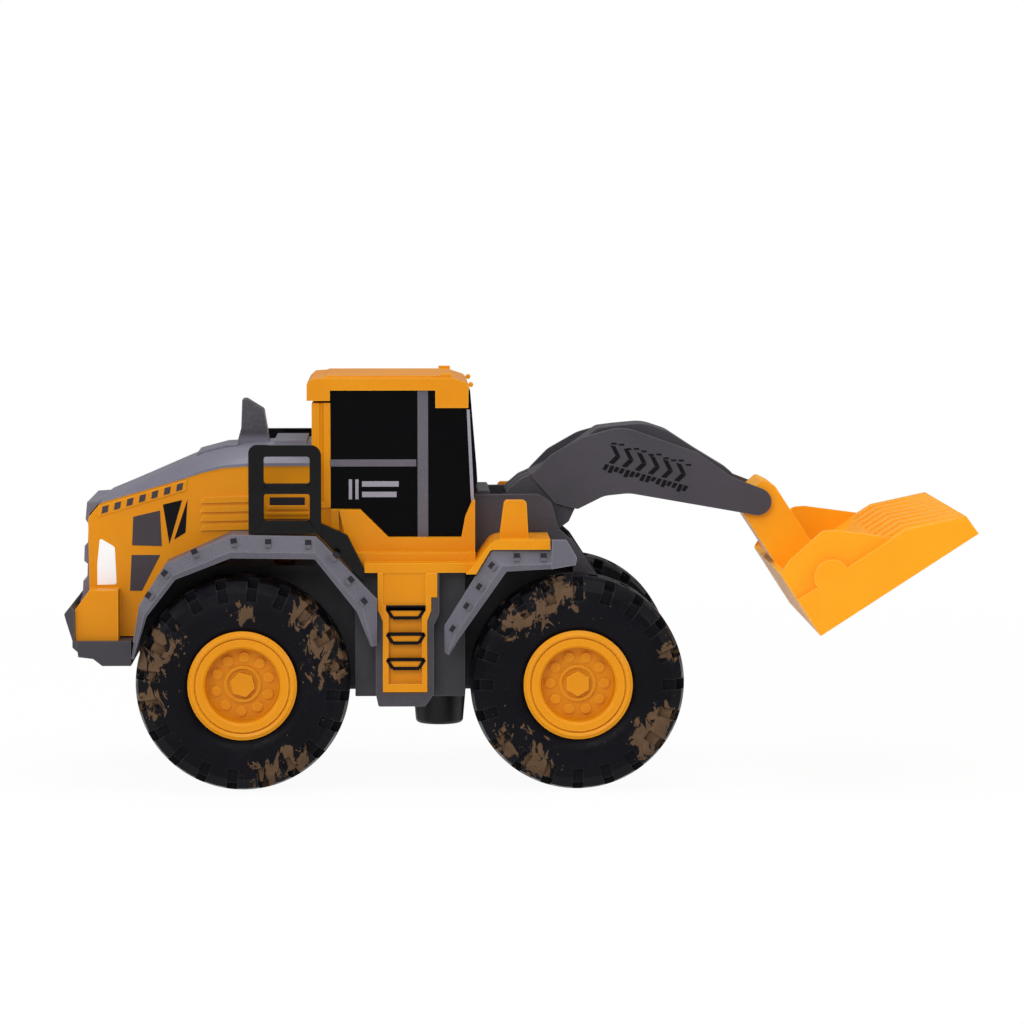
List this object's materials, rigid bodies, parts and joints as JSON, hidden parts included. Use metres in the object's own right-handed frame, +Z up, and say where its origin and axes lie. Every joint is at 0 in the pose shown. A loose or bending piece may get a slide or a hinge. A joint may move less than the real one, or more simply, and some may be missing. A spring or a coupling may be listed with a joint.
{
  "type": "toy front loader",
  "caption": "Free-rolling toy wheel loader with lug tyres, dark cab, hooded engine, a hinged lift arm and a tilting ribbed bucket.",
  "frame": {"origin": "on the ground, under the middle of the whole toy's bounding box", "axes": "+X forward towards the bucket, +Y to the toy's left along the axles, +Z up"},
  "size_m": [0.3358, 0.1244, 0.1524],
  "materials": {
    "yellow_body": "moulded ABS, satin gloss",
    "yellow_rim": "moulded plastic, satin gloss",
    "bucket_yellow": "moulded polypropylene, slightly translucent satin",
    "grey_fender": "metallic-flecked grey plastic, satin",
    "grey_arm": "warm grey plastic, fine grain",
    "dark_hood": "dark grey plastic, fine grain",
    "dark_chassis": "dark grey plastic, fine grain",
    "black_housing": "smooth black plastic",
    "black_gloss": "glossy black plastic",
    "dark_window": "polished black plastic",
    "white_lens": "white lamp lens",
    "tyre_black": "soft black plastic with printed mud splashes",
    "steel": "plated steel"
  },
  "bodies": {
    "vehicle": {"base_plate": "dark_chassis", "belly_cup": "black_housing", "cab_glazing": "dark_window", "cab_rear_frame": "yellow_body", "cab_roof": "yellow_body", "chassis_screws": "steel", "chassis_tub": "dark_chassis", "deck": "yellow_body", "engine_hood": "dark_hood", "engine_shell": "yellow_body", "front_fender_left": "grey_fender", "front_fender_right": "grey_fender", "handrail_left": "black_gloss", "handrail_right": "black_gloss", "ladder_left": "yellow_body", "ladder_right": "yellow_body", "ladder_surround_left": "grey_arm", "ladder_surround_right": "grey_arm", "lift_pin": "steel", "rear_bumper": "grey_arm", "rear_fender_left": "grey_fender", "rear_fender_right": "grey_fender", "rear_grille": "dark_hood", "tail_lamp_left": "white_lens", "tail_lamp_right": "white_lens", "tower": "grey_arm"},
    "front_wheels": {"front_axle": "steel", "front_rim_left": "yellow_rim", "front_rim_right": "yellow_rim", "front_tyre_left": "tyre_black", "front_tyre_right": "tyre_black"},
    "rear_wheels": {"rear_axle": "steel", "rear_rim_left": "yellow_rim", "rear_rim_right": "yellow_rim", "rear_tyre_left": "tyre_black", "rear_tyre_right": "tyre_black"},
    "lift_arm": {"arm_side_left": "grey_arm", "arm_side_right": "grey_arm", "arm_root": "grey_arm", "arm_link": "grey_arm", "tilt_pin": "steel"},
    "bucket": {"bucket": "bucket_yellow"}
  },
  "joints": [
    {"name": "front_wheel_roll", "type": "hinge", "parent": "vehicle", "child": "front_wheels", "pos_m": [0.0214, 0, 0.0394], "axis": [0, 1, 0], "continuous": true},
    {"name": "rear_wheel_roll", "type": "hinge", "parent": "vehicle", "child": "rear_wheels", "pos_m": [-0.1016, 0, 0.0394], "axis": [0, 1, 0], "continuous": true},
    {"name": "arm_lift", "type": "hinge", "parent": "vehicle", "child": "lift_arm", "pos_m": [0.0042, 0, 0.0974], "axis": [0, -1, 0], "range_deg": [-35, 40]},
    {"name": "bucket_tilt", "type": "hinge", "parent": "lift_arm", "child": "bucket", "pos_m": [0.0906, 0, 0.1035], "axis": [0, -1, 0], "range_deg": [-12, 45]}
  ]
}
